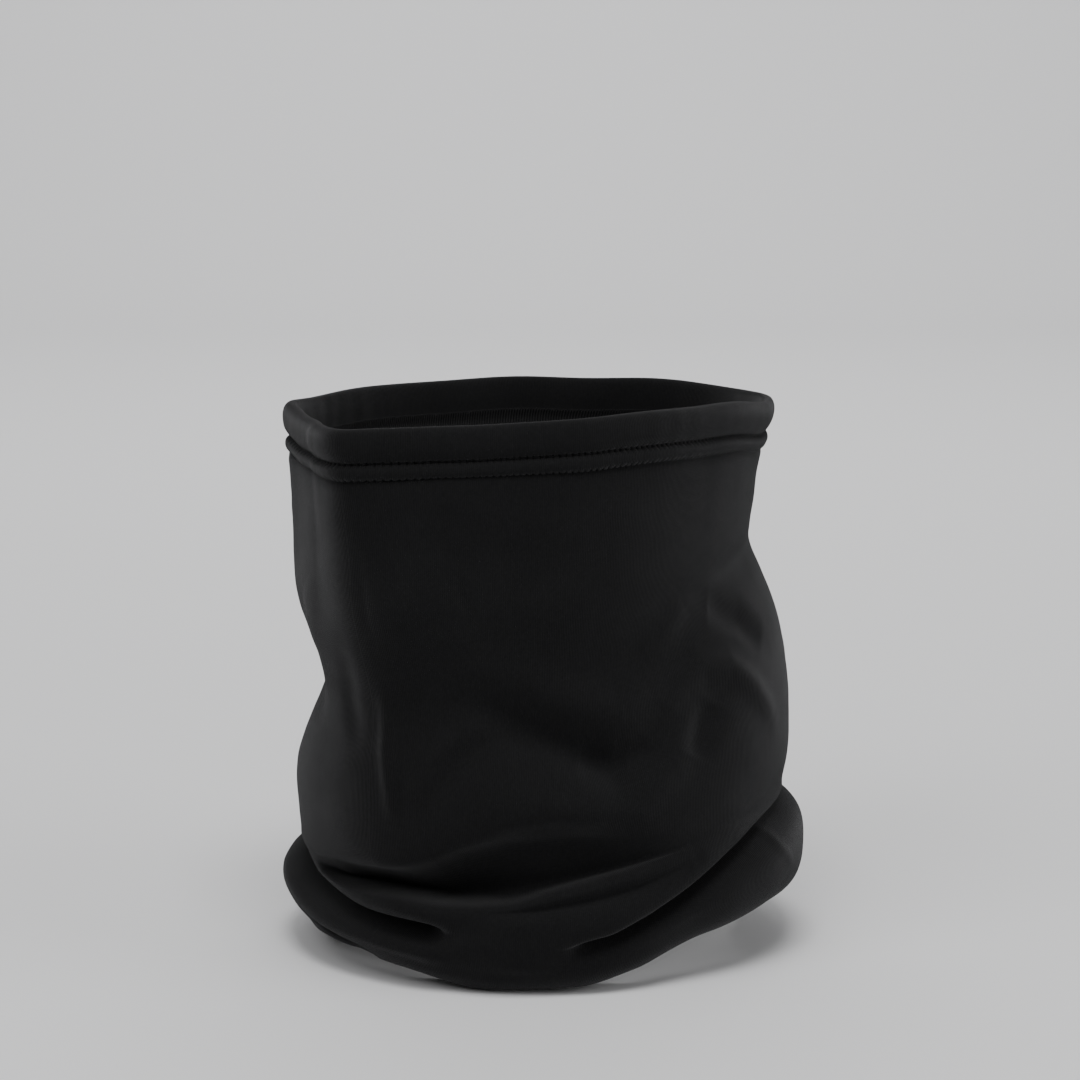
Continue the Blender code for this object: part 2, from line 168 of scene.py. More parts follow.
# Levels down the outside of the panel: (height, reach), each {direction: millimetres}.
PANEL_LEVELS = {
    "under hem": (
        {a: h - UNDER_HEM for a, h in RIM_HEIGHT.items()},
        {0: 105, 10: 98.5, 20: 91, 38: 86.6, 52: 87.5, 68: 85.5, 90: 82.5, 110: 83, 128: 85.8, 150: 92,
         180: 95, 210: 92, 232: 86, 250: 83.5, 270: 82.5, 292: 86, 308: 88.6, 322: 86.6, 340: 91,
         350: 98.5}),
    "cheek": (
        {0: -45, 128: -36, 180: -36, 232: -40, 308: -45},
        {0: 100, 20: 89.5, 38: 85, 52: 85.5, 90: 80, 128: 82.4, 180: 91, 232: 82, 270: 81, 308: 87.3,
         322: 85.6, 340: 89.5}),
    "jaw": (
        {0: -72, 38: -68, 90: -50, 128: -44, 180: -43, 232: -52, 270: -64, 308: -72},
        {0: 96, 20: 88, 38: 83.6, 52: 83, 90: 79.5, 128: 81.4, 180: 88, 232: 80, 270: 79.5, 308: 84.5,
         322: 84.4, 340: 88}),
    "waist": (
        {0: -93, 38: -86, 75: -68, 100: -57, 128: -52, 180: -50, 232: -64, 270: -84, 308: -92.5},
        {0: 89, 20: 83.5, 38: 80.5, 60: 79, 90: 79.6, 128: 82, 180: 86, 232: 79, 270: 76.5, 308: 75.6,
         325: 78, 340: 83.5}),
    "bulge top": (
        {0: -113, 38: -106, 75: -92, 128: -74, 180: -74, 232: -88, 270: -106, 308: -114},
        {0: 89.5, 20: 85, 38: 80.8, 56: 81.5, 75: 84.8, 100: 90, 128: 91.8, 180: 91, 232: 84, 270: 81,
         308: 81, 340: 86}),
    "bulge": (
        {0: -134, 38: -128, 75: -118, 128: -112, 180: -112, 232: -122, 270: -130, 308: -136},
        {0: 91, 38: 87.5, 60: 87.8, 75: 90.5, 98: 95, 128: 96.9, 180: 96, 232: 89, 270: 86, 308: 86.6,
         340: 88.5}),
    "brow": (
        {0: -153.5, 12: -150.5, 24: -145, 38: -138.5, 60: -136.5, 75: -136, 90: -131, 128: -126, 180:
         -126, 232: -136, 270: -144, 308: -150, 336: -155},
        {0: 88.6, 12: 87.2, 24: 86.2, 38: 85.9, 60: 88.3, 75: 91.6, 90: 94, 128: 96.3, 180: 96, 232: 89,
         270: 86, 308: 85.6, 336: 87.3}),
    "under brow": (
        {0: -157.5, 12: -155.5, 24: -151, 38: -146.5, 60: -144, 75: -141.5, 90: -134.5, 128: -129.5,
         180: -129.5, 232: -139.5, 270: -148, 308: -153, 336: -159},
        {0: 80, 15: 79.5, 30: 80.5, 48: 82.8, 62: 87, 75: 91.6, 90: 94, 128: 95.9, 180: 95.6, 232: 88.8,
         270: 85.8, 308: 85.3, 330: 86.2, 340: 84.5, 350: 81.5}),
    "front fold": (
        {0: -165, 15: -165, 24: -163, 33: -161, 42: -158.8, 51: -156, 62: -152, 75: -146.5, 90: -138.5,
         128: -133, 180: -133, 232: -143, 270: -152, 308: -156, 322: -158.5, 334: -162, 345: -165},
        {0: 70.5, 15: 70, 25: 71.5, 33: 73.5, 48: 77, 62: 83, 75: 91, 90: 94, 128: 95.2, 180: 95, 232:
         88.5, 270: 85.5, 308: 85, 322: 85.6, 332: 84.8, 340: 79, 350: 72.5}),
    "tongue": (
        {0: -165, 16: -165.8, 33: -163.5, 42: -161, 51: -158.2, 64: -154, 75: -150, 90: -143.5, 128:
         -138.5, 180: -138, 232: -148, 270: -157, 308: -160, 336: -165},
        {0: 88.2, 16: 88, 33: 88, 51: 89.6, 64: 91.8, 75: 93.3, 90: 94, 128: 94.5, 180: 93.5, 232: 87.5,
         270: 84.5, 308: 83.8, 325: 83.5, 336: 85}),
    "lip": (
        {0: -171.5, 16: -171.5, 30: -170.5, 45: -172.5, 55: -172, 64: -168, 75: -160.5, 91: -149.5, 104:
         -143, 128: -140.5, 180: -139.5, 232: -150, 270: -158.5, 308: -162, 336: -167.5},
        {0: 87, 16: 89.5, 30: 90.5, 45: 92, 64: 93.5, 75: 93.5, 90: 93, 128: 92.5, 180: 91.5, 232: 85,
         270: 82.5, 308: 82, 336: 82.5}),
    "fold": (
        {0: -173, 16: -175.5, 30: -177.5, 45: -179.5, 55: -175, 64: -168.5, 75: -160.5, 91: -149.5, 104:
         -143, 128: -140.5, 180: -140, 232: -151, 270: -159.5, 308: -163, 336: -169},
        {0: 76, 12: 78, 20: 88, 30: 91.5, 45: 91, 52: 86, 64: 80, 75: 79, 90: 79, 128: 80, 180: 81, 232:
         75, 270: 73.5, 308: 73.5, 336: 74.5}),
    "shoulder": (
        {0: -179, 16: -181.5, 30: -184.5, 45: -185.5, 55: -181, 64: -174.5, 75: -167, 91: -156, 104:
         -149, 128: -146, 180: -145.5, 232: -155, 270: -163, 308: -166.5, 336: -174.5},
        {0: 89, 16: 90, 30: 90.5, 45: 89.5, 55: 88.5, 64: 89, 75: 90.5, 90: 93.5, 104: 96, 128: 98, 180:
         98, 232: 91, 270: 88, 308: 88, 336: 88.5}),
    "lobe": (
        {0: -184, 30: -189, 50: -188.5, 64: -181, 75: -174, 91: -167, 104: -164, 128: -164, 180: -165,
         232: -171, 270: -175, 308: -175, 336: -180},
        {0: 89.5, 30: 88, 50: 89.5, 64: 91.5, 75: 93, 90: 98, 104: 101.5, 128: 102.8, 180: 102, 232:
         95.5, 270: 92.5, 308: 91.6, 336: 91}),
    "lower lobe": (
        {0: -188.5, 30: -193.5, 50: -193, 64: -187.5, 75: -181.5, 91: -176, 104: -174, 128: -176.5, 180:
         -178, 232: -182, 270: -185, 308: -185, 336: -185},
        {0: 86, 30: 85, 50: 86.5, 64: 88.5, 75: 89.5, 90: 94, 104: 97, 128: 98.5, 180: 98, 232: 92, 270:
         88, 308: 84.3, 336: 86}),
    "bottom": (
        {0: -192, 28: -197, 50: -196.5, 64: -191.5, 74: -187, 86: -182.5, 105: -180, 128: -184, 180:
         -186, 232: -190, 270: -193, 308: -194, 336: -190},
        {0: 78, 30: 77, 50: 78.5, 74: 81, 90: 84.5, 128: 88.5, 180: 88, 232: 83, 270: 80, 308: 78.5,
         336: 79}),
    "turn": (
        {0: -188.5, 28: -193.5, 50: -193.5, 74: -185, 105: -178.5, 128: -182.5, 180: -182.5,
         232: -186.5, 270: -189.5, 308: -190.5, 336: -187},
        {0: 70.5, 38: 70, 90: 75, 128: 78.5, 180: 77.5, 232: 74, 270: 71.5, 308: 70, 336: 70.5}),
    "tuck": (
        {0: -184.5, 28: -189.5, 50: -189.5, 74: -181, 105: -174.5, 128: -178.5, 180: -178.5,
         232: -182.5, 270: -185.5, 308: -186.5, 336: -183},
        {0: 70.5, 38: 70, 90: 75, 128: 78.5, 180: 77.5, 232: 74, 270: 71.5, 308: 70, 336: 70.5}),
}

# Soft folds on the panel: a path of (direction, millimetres of height), half width and depth in
# millimetres. Depth is outward, so a valley is negative.
SOFT_FOLDS = (
    # cheek puffed out under the hem
    (((3, -58), (12, -57), (23, -53)), 12.0, 4.0),
    (((35, -55), (55, -60)), 14.0, 0.6),
    (((30, -30), (70, -28)), 7.0, 0.6),
    # chin: the ridge hanging from it and the hollow on its far side
    (((3.4, -91), (4.2, -111), (6.5, -135)), 3.2, 2.0),
    (((-6, -77), (-8.7, -96), (-4, -113)), 5.5, -1.2),
    (((-30, -60), (-21, -80), (-20, -100)), 13.0, 2.0),
    # under the jaw: a swell, the long hollow below it with its deepest pocket, and the shelf below that
    (((34, -84), (47, -92), (60, -97), (69, -90)), 8.0, 3.0),
    (((24, -93), (35, -101), (45, -108), (59, -117), (68, -110), (74, -97)), 7.5, -6.2),
    (((50, -111), (63, -112)), 7.5, -3.0),
    (((16, -129), (19, -117), (25, -108), (32, -107), (38.7, -113), (45.5, -122)), 5.5, -1.0),
    (((12, -126), (17, -113), (24, -103), (32, -101)), 5.0, 1.6),
    (((40, -126), (51, -132), (64, -131), (72, -119)), 7.0, 2.4),
    (((14, -126), (30, -128), (46, -129)), 13.0, 1.7),
    # the cloth turns under above the front fold
    (((14, -150), (28, -144.5), (42, -141), (56, -140), (69, -142.5)), 7.5, -2.0),
    (((20, -152), (42, -147), (64, -145)), 6.0, -2.4),
    # behind the jaw: a hollow, the arched ridge round it and the hollow above that
    (((85, -97), (82, -105), (78, -115)), 6.0, -3.8),
    (((70, -106), (73, -97), (77.5, -89), (83.6, -84), (91.3, -85.5), (98.4, -94.4), (106, -108)),
     5.0, 2.4),
    (((90, -65), (99.5, -71.5), (106, -80)), 6.0, -2.4),
    (((82, -63), (75, -72), (68, -80)), 4.8, 1.3),
    # second groove under the front fold
    (((28, -167.5), (33, -166), (41, -164.8), (51, -162.2), (62.5, -158.6), (71, -155), (77, -151.5)),
     3.2, -5.0),
    # small pinch where the near lobe turns under, and a crease across the other
    (((333, -181.5), (341, -185.5), (348, -187.5), (356, -188.5)), 2.2, -5.0),
    (((101, -147), (103, -154), (108.6, -162.6)), 2.6, 0.7),
    # far side and back
    (((150, -52), (165, -60), (190, -62), (212, -56)), 6.0, -1.8),
    (((160, -70), (182, -76), (204, -72)), 6.5, 1.2),
    (((232, -60), (222, -84), (216, -108)), 7.0, -1.8),
    (((250, -70), (244, -92), (240, -116)), 6.0, 1.2),
    (((262, -82), (270, -100), (284, -112)), 6.5, -1.6),
    (((140, -84), (150, -96), (158, -112)), 7.0, -1.4),
)


def around(keys, direction):
    """Smooth closed curve through {direction: millimetres}, without overshoot, in metres."""
    at = sorted(keys)
    x = np.array([a - 360 for a in at[-2:]] + at + [a + 360 for a in at[:2]], float)
    y = np.array([keys[a] for a in at[-2:] + at + at[:2]], float)
    step = np.diff(x)
    rise = np.diff(y) / step
    before, after = rise[:-1], rise[1:]
    monotone = before * after > 0
    total = np.where(monotone, before + after, 1.0)
    slope = np.zeros(len(x))
    slope[1:-1] = np.where(monotone, 2 * before * after / total, 0.0)
    turn = np.mod(direction - at[0], 360) + at[0]
    i = np.clip(np.searchsorted(x, turn, side="right") - 1, 0, len(x) - 2)
    t = (turn - x[i]) / step[i]
    value = (y[i] * (2 * t**3 - 3 * t**2 + 1) + y[i + 1] * (3 * t**2 - 2 * t**3)
             + slope[i] * step[i] * (t**3 - 2 * t**2 + t) + slope[i + 1] * step[i] * (t**3 - t**2))
    return value * MM


def spline_through(points, knots, at):
    """Natural cubic spline: points (levels, ...) on knots, read at the values `at`."""
    count = len(knots)
    step = np.diff(knots)
    system = np.eye(count)
    bend = np.zeros_like(points)
    for i in range(1, count - 1):
        system[i, i - 1:i + 2] = step[i - 1], 2 * (step[i - 1] + step[i]), step[i]
        bend[i] = 6 * ((points[i + 1] - points[i]) / step[i] - (points[i] - points[i - 1]) / step[i - 1])
    second = np.tensordot(np.linalg.inv(system), bend, axes=(1, 0))
    i = np.clip(np.searchsorted(knots, at, side="right") - 1, 0, count - 2)
    shape = (len(at),) + (1,) * (points.ndim - 1)
    width = step[i].reshape(shape)
    low = ((knots[i + 1] - at) / step[i]).reshape(shape)
    high = 1 - low
    return (low * points[i] + high * points[i + 1]
            + ((low**3 - low) * second[i] + (high**3 - high) * second[i + 1]) * width**2 / 6)


def panel_profiles(direction, rows):
    """Reach and height of the panel's outside, (rows, directions), denser where it folds, and how many
    levels down each row is."""
    height = np.stack([around(h, direction) for h, _ in PANEL_LEVELS.values()])
    reach = np.stack([around(r, direction) for _, r in PANEL_LEVELS.values()])
    points = np.stack([reach, height], axis=-1)
    chords = np.linalg.norm(np.diff(points, axis=0), axis=-1)
    knots = np.concatenate([[0], np.cumsum(np.sqrt(chords).mean(axis=1))])
    at = np.linspace(0, knots[-1], rows)
    smooth = spline_through(points, knots, at)
    return smooth[..., 0], smooth[..., 1], np.interp(at, knots, np.arange(len(knots)))


def path_distance(direction, height, path):
    """Millimetres from each point of the cloth to a path on it, and how far along the path it is."""
    arc = math.radians(1) * MEAN_REACH
    nearest = np.full(direction.shape, 1e9)
    along = np.zeros(direction.shape)
    lengths = [math.hypot((b[0] - a[0]) * arc, b[1] - a[1]) for a, b in zip(path, path[1:])]
    done = 0.0
    for (start, end), length in zip(zip(path, path[1:]), lengths):
        dx, dy = (end[0] - start[0]) * arc, end[1] - start[1]
        px = ((direction - start[0] + 180) % 360 - 180) * arc
        py = height / MM - start[1]
        t = np.clip((px * dx + py * dy) / length**2, 0, 1)
        gap = np.hypot(px - t * dx, py - t * dy)
        closer = gap < nearest
        nearest = np.where(closer, gap, nearest)
        along = np.where(closer, (done + t * length) / sum(lengths), along)
        done += length
    return nearest, along


def soft_folds(direction, height):
    """Outward movement of the panel from all its soft folds, in metres."""
    total = np.zeros(direction.shape)
    for path, width, depth in SOFT_FOLDS:
        gap, along = path_distance(direction, height, path)
        fade = FOLD_END + (1 - FOLD_END) * np.sin(np.pi * np.clip(along, 0.01, 0.99)) ** 0.7
        total += depth * MM * fade * np.exp(-(gap / width) ** 2)
    return total


def waves(direction, height, seed, scale, amplitude):
    """Smooth seeded unevenness round the tube: a few sines of random tilt and phase, none much shorter
    than `scale` millimetres."""
    rng = np.random.default_rng(seed)
    total = np.zeros(np.broadcast(direction, height).shape)
    for _ in range(WAVE_COUNT):
        turns = rng.integers(2, max(3, int(WAVE_GIRTH / scale)))
        climb = rng.normal() * 2 * math.pi / scale
        phase = rng.uniform(0, 2 * math.pi)
        total = total + np.sin(np.radians(direction) * turns + height / MM * climb + phase)
    return amplitude * total / math.sqrt(WAVE_COUNT)


def gather(direction):
    """In and out waves of the lower edge, where the tube is drawn in to the neck, in metres."""
    rng = np.random.default_rng(5)
    total = np.zeros(np.shape(direction))
    for turns in GATHER_WAVES:
        strength = rng.uniform(0.6, 1.0)
        phase = rng.uniform(0, 6.28)
        total = total + strength * np.sin(np.radians(direction) * turns + phase)
    return GATHER_DEPTH * total


def at_direction(direction, reach, height):
    """Points at a reach from the axis and a height, in metres."""
    a = np.radians(direction)
    return np.stack(np.broadcast_arrays(reach * np.sin(a), -reach * np.cos(a), height), axis=-1)


def outward_of(reach_keys, direction):
    """Level normals of the closed curve given by its reach."""
    after, before = direction + NORMAL_STEP, direction - NORMAL_STEP
    ahead = at_direction(after, around(reach_keys, after), 0.0)
    behind = at_direction(before, around(reach_keys, before), 0.0)
    along = (ahead - behind) / np.linalg.norm(ahead - behind, axis=-1, keepdims=True)
    return np.stack([along[..., 1], -along[..., 0], np.zeros_like(along[..., 0])], axis=-1)


def grid_normals(points):
    """Outward normals of a (rows, columns) grid closed round its columns."""
    across = np.roll(points, -1, axis=1) - np.roll(points, 1, axis=1)
    down = np.gradient(points, axis=0)
    normal = np.cross(down, across)
    return normal / np.maximum(np.linalg.norm(normal, axis=-1, keepdims=True), 1e-9)


def grid_faces(rows, columns, close_rows=False):
    """Quads of a (rows, columns) grid closed round its columns."""
    r = np.arange(rows if close_rows else rows - 1)[:, None]
    c = np.arange(columns)[None, :]
    below, beside = (r + 1) % rows, (c + 1) % columns
    corners = (r * columns + c, below * columns + c, below * columns + beside, r * columns + beside)
    return np.stack(np.broadcast_arrays(*corners), axis=-1).reshape(-1, 4)


def make_mesh(name, points, quads, uv=None):
    """Smooth-shaded mesh from arrays. uv holds one pair for each corner of each quad."""
    mesh = bpy.data.meshes.new(name)
    mesh.vertices.add(len(points))
    mesh.vertices.foreach_set("co", np.ascontiguousarray(points, dtype=np.float32).ravel())
    mesh.loops.add(quads.size)
    mesh.loops.foreach_set("vertex_index", quads.astype(np.int32).ravel())
    mesh.polygons.add(len(quads))
    mesh.polygons.foreach_set("loop_start", np.arange(0, quads.size, 4, dtype=np.int32))
    mesh.polygons.foreach_set("use_smooth", np.ones(len(quads), dtype=bool))
    if uv is not None:
        layer = mesh.uv_layers.new(name="cloth")
        layer.data.foreach_set("uv", np.ascontiguousarray(uv, dtype=np.float32).ravel())
    mesh.update(calc_edges=True)
    mesh.validate()
    return mesh


def add_piece(name, mesh, *skins):
    """A visual piece riding the one body."""
    piece = bpy.data.objects.new(name, mesh)
    bpy.context.scene.collection.objects.link(piece)
    for skin in skins:
        piece.data.materials.append(skin)
    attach(piece, "root")
    return piece


def cloth_uv(rows, columns, down):
    """Cloth coordinates in metres for the corners of a closed grid: girth across, length down."""
    quads = grid_faces(rows, columns, close_rows=True)
    r, c = np.divmod(quads, columns)
    first = c[:, :1]
    wrapped = np.where((c < first), c + columns, c)
    return np.stack([wrapped * (CLOTH_GIRTH / columns), down[r]], axis=-1)


# ---------------------------------------------------------------- materials


class Nodes:
    """Short hand for wiring one material."""

    def __init__(self, name, colour, roughness):
        self.skin = bpy.data.materials.new(name)
        self.skin.use_nodes = True
        self.tree = self.skin.node_tree
        self.shader = self.tree.nodes["Principled BSDF"]
        self.shader.inputs["Base Color"].default_value = (*colour, 1)
        self.shader.inputs["Roughness"].default_value = roughness

    def add(self, kind, **settings):
        node = self.tree.nodes.new(kind)
        for key, value in settings.items():
            setattr(node, key, value)
        return node

    def link(self, out, into):
        self.tree.links.new(out, into)

    def nap(self, specular, sheen, sheen_roughness, tint=None):
        """Dull reflection and the sheen of raised fibre."""
        self.shader.inputs["Specular IOR Level"].default_value = specular
        self.shader.inputs["Sheen Weight"].default_value = sheen
        self.shader.inputs["Sheen Roughness"].default_value = sheen_roughness
        if tint:
            self.shader.inputs["Sheen Tint"].default_value = (*tint, 1)

    def relief(self, height, strength=1.0):
        """Bump from a height in metres."""
        bump = self.add("ShaderNodeBump")
        bump.inputs["Strength"].default_value = strength
        bump.inputs["Distance"].default_value = 1.0
        self.link(height, bump.inputs["Height"])
        self.link(bump.outputs["Normal"], self.shader.inputs["Normal"])

    def shades(self, colour, value, reads=(0.0, 1.0), gives=(0.0, 1.0)):
        """Base colour made darker and lighter: `value` over the range `reads` scales it over `gives`."""
        ramp = self.add("ShaderNodeMapRange")
        ramp.inputs["From Min"].default_value, ramp.inputs["From Max"].default_value = reads
        ramp.inputs["To Min"].default_value, ramp.inputs["To Max"].default_value = gives
        self.link(value, ramp.inputs["Value"])
        tint = self.add("ShaderNodeVectorMath", operation="SCALE")
        tint.inputs[0].default_value = colour
        self.link(ramp.outputs[0], tint.inputs["Scale"])
        self.link(tint.outputs[0], self.shader.inputs["Base Color"])

    def math(self, operation, a, b=None):
        node = self.tree.nodes.new("ShaderNodeMath")
        node.operation = operation
        for slot, value in zip(node.inputs, (a, b)):
            if value is None:
                continue
            if isinstance(value, (int, float)):
                slot.default_value = value
            else:
                self.link(value, slot)
        return node.outputs[0]

    def noise(self, vector, scale, detail=2.0, roughness=0.5):
        node = self.add("ShaderNodeTexNoise")
        node.inputs["Scale"].default_value = scale
        node.inputs["Detail"].default_value = detail
        node.inputs["Roughness"].default_value = roughness
        self.link(vector, node.inputs["Vector"])
        return node.outputs["Fac"]


def knit_material(name, colour, wale_depth, fuzz_depth, sheen):
    """Face of a jersey knit: wales along the length, courses across, loose fibre over both."""
    n = Nodes(name, colour, 0.92)
    n.nap(0.07, sheen, 0.40, (0.45, 0.45, 0.46))
    cloth = n.add("ShaderNodeUVMap", uv_map="cloth").outputs["UV"]
    split = n.add("ShaderNodeSeparateXYZ")
    n.link(cloth, split.inputs[0])
    place = n.add("ShaderNodeTexCoord").outputs["Object"]

    drift = n.math("MULTIPLY", n.math("SUBTRACT", n.noise(place, 60.0), 0.5), 0.9)
    across = n.math("ADD", n.math("MULTIPLY", split.outputs["X"], 2 * math.pi / WALE_PITCH), drift)
    down = n.math("MULTIPLY", split.outputs["Y"], 2 * math.pi / COURSE_PITCH)
    wale = n.math("ABSOLUTE", n.math("SINE", n.math("MULTIPLY", across, 0.5)))
    slant = n.math("MULTIPLY", n.math("COSINE", across), 0.9)
    loop = n.math("MULTIPLY", n.math("SINE", n.math("ADD", down, slant)), 0.12)
    knit = n.math("MULTIPLY", n.math("ADD", wale, loop), wale_depth)
    fibre = n.math("MULTIPLY", n.noise(place, 2600.0, 3.0, 0.65), fuzz_depth)
    pill = n.math("MULTIPLY", n.noise(place, 420.0, 3.0, 0.6), fuzz_depth * 0.9)
    n.relief(n.math("ADD", n.math("ADD", knit, fibre), pill))

    # slow random variation of dye and nap, and painted shade that darkens the hollows between the wales
    cloud = n.noise(place, 34.0, 3.0, 0.55)
    grain = n.noise(place, 900.0, 2.0, 0.6)
    tone_and_painted_shade = n.math("ADD", n.math("MULTIPLY", cloud, 0.55), n.math("MULTIPLY", grain, 0.75))
    # painted shade: the wale term darkens the colour in the hollows between the wales
    tone_and_painted_shade = n.math("ADD", n.math("MULTIPLY", wale, 0.35), tone_and_painted_shade)
    n.shades(colour, tone_and_painted_shade, (0.35, 1.35), (0.55, 1.45))
    return n.skin


def fleece_material(name, colour):
    """Brushed back of the cloth: short tangled pile."""
    n = Nodes(name, colour, 1.0)
    n.nap(0.15, 0.35, 0.6, (0.6, 0.6, 0.62))
    place = n.add("ShaderNodeTexCoord").outputs["Object"]
    clump = n.math("MULTIPLY", n.noise(place, 330.0, 4.0, 0.7), 0.9 * MM)
    fibre = n.math("MULTIPLY", n.noise(place, 1900.0, 3.0, 0.7), 0.28 * MM)
    n.relief(n.math("ADD", clump, fibre))
    n.shades(colour, n.noise(place, 260.0, 4.0, 0.7), (0.3, 0.7), (0.5, 1.6))
    return n.skin


def thread_material(name, colour):
    """Spun thread: fine twist and a dull sheen."""
    n = Nodes(name, colour, 0.6)
    n.nap(0.2, 0.08, 0.35)
    place = n.add("ShaderNodeTexCoord").outputs["Object"]
    n.relief(n.math("MULTIPLY", n.noise(place, 5200.0, 2.0), 0.08 * MM), 0.6)
    n.shades(colour, n.noise(place, 1500.0, 2.0), gives=(0.6, 1.4))
    return n.skin


def tape_material(name, colour):
    """Woven satin tape of the blank label."""
    n = Nodes(name, colour, 0.5)
    place = n.add("ShaderNodeTexCoord").outputs["Object"]
    split = n.add("ShaderNodeSeparateXYZ")
    n.link(place, split.inputs[0])
    weft = n.math("SINE", n.math("MULTIPLY", split.outputs["Z"], 2 * math.pi / WEFT_PITCH))
    warp = n.math("SINE", n.math("MULTIPLY", split.outputs["X"], 2 * math.pi / WARP_PITCH))
    n.relief(n.math("MULTIPLY", n.math("ADD", weft, warp), 0.02 * MM), 0.5)
    n.shades(colour, n.noise(place, 300.0, 3.0), gives=(0.8, 1.2))
    return n.skin


def plain_material(name, colour, roughness):
    return Nodes(name, colour, roughness).skin


# ---------------------------------------------------------------- the panel


def panel_outside():
    """Grid of the outside of the panel, (rows, columns, xyz), and the length of cloth down to each row."""
    direction = np.arange(PANEL_COLUMNS) * 360 / PANEL_COLUMNS
    reach, height, level = panel_profiles(direction, PANEL_ROWS)
    names = list(PANEL_LEVELS)
    tucked = np.clip((level - names.index("lower lobe")) / 2, 0, 1)[:, None] ** 1.5
    reach = reach + tucked * gather(direction)
    around_all = np.broadcast_to(direction, reach.shape)
    smooth = at_direction(around_all, reach, height)
    seen = level[:, None] < names.index("bottom") + 0.3
    raised = soft_folds(around_all, height) * seen
    raised = raised + waves(around_all, height, 3, 46, 0.22 * MM)
    raised = raised + waves(around_all, height, 8, 17, 0.05 * MM)
    below_hem = height[:1] - height
    raised = raised - TUCK_UNDER_HEM * np.exp(-(below_hem / TUCK_FADE) ** 2)
    smooth[..., 2] += RISE_INTO_HEM * np.exp(-below_hem / RISE_FADE)
    points = smooth + grid_normals(smooth) * raised[..., None]
    steps = np.linalg.norm(np.diff(points, axis=0), axis=-1).mean(axis=1)
    return points, np.concatenate([[0], np.cumsum(steps)])


def build_panel(knit, fleece):
    """The folded tube, knit outside and brushed inside. Gives back the grid of its outside."""
    outside, down = panel_outside()
    inside = outside - grid_normals(outside) * CLOTH_THICK
    rows, columns = outside.shape[:2]
    ring = np.concatenate([outside, inside[::-1]])
    quads = grid_faces(2 * rows, columns, close_rows=True)
    both = np.concatenate([down, down[::-1]])
    mesh = make_mesh("panel_cloth", ring.reshape(-1, 3), quads, cloth_uv(2 * rows, columns, both))
    row_of = quads[:, 0] // columns
    back = (row_of >= rows).astype(np.int32)
    mesh.polygons.foreach_set("material_index", back)
    panel = add_piece("panel_cloth", mesh, knit, fleece)
    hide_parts("body_panel")
    return outside


# ---------------------------------------------------------------- hems


def hem_section(count):
    """(out, drop) in millimetres round the turned edge: outside from the fold down, then inside up."""
    outside = np.array([(-3.0, 0.0), (-1.9, 0.15), (-0.7, 0.9), (0.2, 2.4), (0.65, 4.6), (0.55, 7.0),
                        (0.05, 9.2), (-0.75, 10.7), (-1.6, 11.65), (-2.45, 12.2), (-1.5, 12.8),
                        (-0.6, 13.6), (-0.25, 14.8), (-0.4, 16.2), (-0.95, 17.2), (-1.6, 17.8),
                        (-2.1, 18.2), (-2.6, 18.6)])
    inside = np.array([(-5.2, 18.2), (-5.5, 16.5), (-5.25, 12.5), (-5.5, 8.0), (-5.4, 4.0), (-4.9, 1.4),
                       (-4.1, 0.3), (-3.0, 0.0)])
    corners = np.concatenate([outside, inside])
    chord = np.linalg.norm(np.diff(corners, axis=0), axis=1)
    knots = np.concatenate([[0], np.cumsum(np.maximum(chord, 0.05))])
    return spline_through(corners, knots, np.linspace(0, knots[-1], count + 1))[:-1]


def stitch_phase(columns):
    """0 at a needle hole to 1 at the next, for each column round the tube."""
    return (np.arange(columns) * STITCHES_ROUND / columns) % 1.0


class TurnedEdge:
    """One turned and coverstitched end of the tube, placed by the top line of its fold."""

    def __init__(self, prefix, height_keys, reach_keys, side, seed):
        self.prefix = prefix
        self.height_keys = height_keys
        self.reach_keys = reach_keys
        self.side = side
        self.seed = seed

    def lean(self, direction, drop):
        """Millimetres a point `drop` down the edge leans in. Only the top edge leans."""
        if self.side == WRONG_SIDE_OUT:
            return np.zeros_like(drop)
        return around(HEM_LEAN, direction) / MM * drop / LOWER_ROW_DROP

    def ripple(self, direction):
        """Unevenness out and in, in millimetres."""
        long = waves(direction, 0.0, self.seed, 30, 0.22)
        return 0.5 * (long + waves(direction, 0.0, self.seed + 1, 9, 0.10))

    def sag(self, direction):
        """Unevenness up and down, in millimetres."""
        return 0.6 * waves(direction, 0.0, self.seed + 3, 40, 0.6)

    def place(self, direction, out, drop):
        """Points `out` millimetres off the fold line and `drop` down from it, leaning and uneven."""
        reach = around(self.reach_keys, direction)
        if self.side == WRONG_SIDE_OUT:
            reach = reach + gather(direction)
        base = at_direction(direction, reach, around(self.height_keys, direction))
        out_way = -self.side * outward_of(self.reach_keys, direction)
        out = out + self.ripple(direction) - self.lean(direction, drop)
        drop = drop + self.sag(direction)
        return base + out_way * out[..., None] * MM + DOWN * drop[..., None] * MM

    def line(self, turn, out, drop):
        """Points for positions `turn` in stitches round the edge."""
        return self.place(turn * 360 / STITCHES_ROUND, out, drop)


